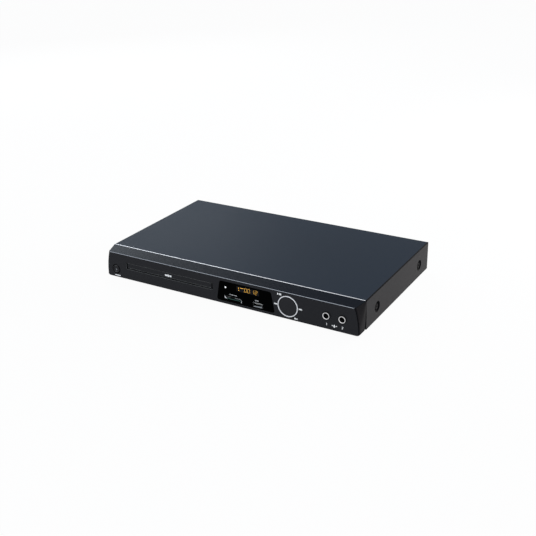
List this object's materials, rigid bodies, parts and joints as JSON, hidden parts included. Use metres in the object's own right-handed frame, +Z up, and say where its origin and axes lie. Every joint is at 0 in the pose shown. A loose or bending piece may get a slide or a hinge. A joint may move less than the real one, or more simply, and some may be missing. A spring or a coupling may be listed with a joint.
{
  "type": "dvd player with tray",
  "caption": "Slim disc player with a sliding disc tray, display window, navigation pad, card and USB slots and microphone jacks; the tray, deck, pickup, gears and buttons move.",
  "frame": {"origin": "on the floor under the middle of the player's box", "axes": "+X to the player's right seen from the front, +Y towards its back, +Z up"},
  "size_m": [0.3606, 0.22, 0.041],
  "materials": {
    "cover_paint": "satin dark slate paint on steel",
    "zinc_steel": "zinc-plated sheet",
    "black_screw": "black oxide screw",
    "foot_rubber": "matt",
    "fascia_plastic": "fine moulded grain",
    "trim_chrome": "bright",
    "window_gloss": "polished smoked acrylic",
    "door_plastic": "semi-gloss",
    "button_plastic": "satin",
    "ring_silver": "satin silver",
    "white_plastic": "natural",
    "board_green": "solder mask",
    "board_brown": "phenolic board",
    "part_black": "moulded",
    "jack_collar": "coloured",
    "tray_plastic": "satin",
    "rubber_belt": "matt",
    "brass": "turned",
    "aluminium": "extruded",
    "magnet": "plated",
    "lens_glass": "coated",
    "transformer_tape": "tape",
    "capacitor_sleeve": "sleeve",
    "ribbon": "flat cable",
    "display_glass": "display"
  },
  "bodies": {
    "chassis": {"top_cover": "cover_paint", "base_pan": "zinc_steel", "rear_panel": "zinc_steel", "rubber_feet": "foot_rubber", "foot_screws": "zinc_steel", "cover_screws": "black_screw", "rear_screws": "black_screw", "front_fascia": "fascia_plastic", "fascia_trim": "trim_chrome", "display_window": "window_gloss", "power_key_board": "board_green", "key_switches": "part_black", "nav_ring": "ring_silver", "front_board": "board_green", "display_module": "display_glass", "ir_receiver": "part_black", "media_board": "board_green", "usb_socket": "trim_chrome", "usb_tongue": "white_plastic", "sd_socket": "part_black", "mic_jacks": "part_black", "mic_jack_nuts": "trim_chrome", "mic_board": "board_green", "main_board": "board_green", "main_board_chips": "part_black", "av_jack_block": "part_black", "av_jack_shells": "trim_chrome", "av_jack_collars": "jack_collar", "hdmi_socket": "zinc_steel", "power_inlet": "part_black", "inlet_pins": "brass", "power_board": "board_brown", "transformer": "transformer_tape", "capacitors": "capacitor_sleeve", "heatsink": "aluminium", "ribbon_cables": "ribbon", "loader_frame": "white_plastic", "tray_motor": "zinc_steel", "drive_belt": "rubber_belt", "clamp_bridge": "zinc_steel", "inner_screws": "zinc_steel"},
    "tray": {"disc_tray": "tray_plastic", "tray_door": "door_plastic"},
    "power_button": {"power_button": "button_plastic"},
    "nav_gimbal": {"nav_gimbal": "white_plastic"},
    "nav_pad": {"nav_pad": "button_plastic"},
    "drive_gear": {"drive_gear": "white_plastic"},
    "pulley_gear": {"pulley_gear": "white_plastic"},
    "motor_pulley": {"motor_pulley": "brass"},
    "cam_slider": {"cam_slider": "white_plastic"},
    "clamp": {"disc_clamp": "white_plastic", "clamp_magnet": "magnet"},
    "deck": {"deck_plate": "zinc_steel", "spindle_motor": "zinc_steel", "guide_rods": "trim_chrome", "sled_motor": "zinc_steel"},
    "turntable": {"turntable": "part_black"},
    "pickup": {"pickup_body": "part_black"},
    "lens": {"pickup_lens": "lens_glass"},
    "sled_screw": {"sled_screw": "trim_chrome"}
  },
  "joints": [
    {"name": "tray_slide", "type": "slide", "parent": "chassis", "child": "tray", "axis": [0, -1, 0], "range_m": [0, 0.136]},
    {"name": "power_press", "type": "slide", "parent": "chassis", "child": "power_button", "axis": [0, 1, 0], "range_m": [0, 0.0008], "stiffness_N_per_m": 600},
    {"name": "nav_tilt_a", "type": "hinge", "parent": "chassis", "child": "nav_gimbal", "pos_m": [0.0898, -0.104, 0.0209], "axis": [0.7071, 0, 0.7071], "range_deg": [-2.5, 2.5], "stiffness_Nm_per_rad": 0.05},
    {"name": "nav_tilt_b", "type": "hinge", "parent": "nav_gimbal", "child": "nav_pad", "pos_m": [0.0898, -0.104, 0.0209], "axis": [-0.7071, 0, 0.7071], "range_deg": [-2.5, 2.5], "stiffness_Nm_per_rad": 0.05},
    {"name": "drive_gear_spin", "type": "hinge", "parent": "chassis", "child": "drive_gear", "pos_m": [-0.125, -0.085, 0.0212], "axis": [0, 0, 1], "continuous": true},
    {"name": "pulley_gear_spin", "type": "hinge", "parent": "chassis", "child": "pulley_gear", "pos_m": [-0.1034, -0.085, 0.0212], "axis": [0, 0, 1], "continuous": true},
    {"name": "motor_spin", "type": "hinge", "parent": "chassis", "child": "motor_pulley", "pos_m": [-0.067, -0.085, 0.0182], "axis": [0, 0, 1], "continuous": true},
    {"name": "cam_slide", "type": "slide", "parent": "chassis", "child": "cam_slider", "axis": [1, 0, 0], "range_m": [0, 0.012]},
    {"name": "deck_lift", "type": "hinge", "parent": "chassis", "child": "deck", "pos_m": [-0.081, 0.0495, 0.015], "axis": [-1, 0, 0], "range_deg": [0, 3]},
    {"name": "clamp_spin", "type": "hinge", "parent": "chassis", "child": "clamp", "pos_m": [-0.081, -0.0365, 0.0265], "axis": [0, 0, 1], "continuous": true},
    {"name": "turntable_spin", "type": "hinge", "parent": "deck", "child": "turntable", "pos_m": [-0.081, -0.03696, 0.02148], "axis": [0, -0.0523, 0.9986], "continuous": true},
    {"name": "pickup_slide", "type": "slide", "parent": "deck", "child": "pickup", "axis": [0, 0.9986, 0.0523], "range_m": [0, 0.034]},
    {"name": "lens_focus", "type": "slide", "parent": "pickup", "child": "lens", "axis": [0, -0.0523, 0.9986], "range_m": [-0.0004, 0.0004], "stiffness_N_per_m": 30},
    {"name": "sled_screw_spin", "type": "hinge", "parent": "deck", "child": "sled_screw", "pos_m": [-0.047, -0.0243, 0.00933], "axis": [0, 0.9986, 0.0523], "continuous": true}
  ],
  "couplings": [
    {"joint": "drive_gear_spin", "follows": "tray_slide", "rad_per_m": 111.11},
    {"joint": "pulley_gear_spin", "follows": "tray_slide", "rad_per_m": -388.89},
    {"joint": "motor_spin", "follows": "tray_slide", "rad_per_m": -1296.3},
    {"joint": "deck_lift", "follows": "cam_slide", "rad_per_m": 4.3633},
    {"joint": "sled_screw_spin", "follows": "pickup_slide", "rad_per_m": 2094.4}
  ]
}
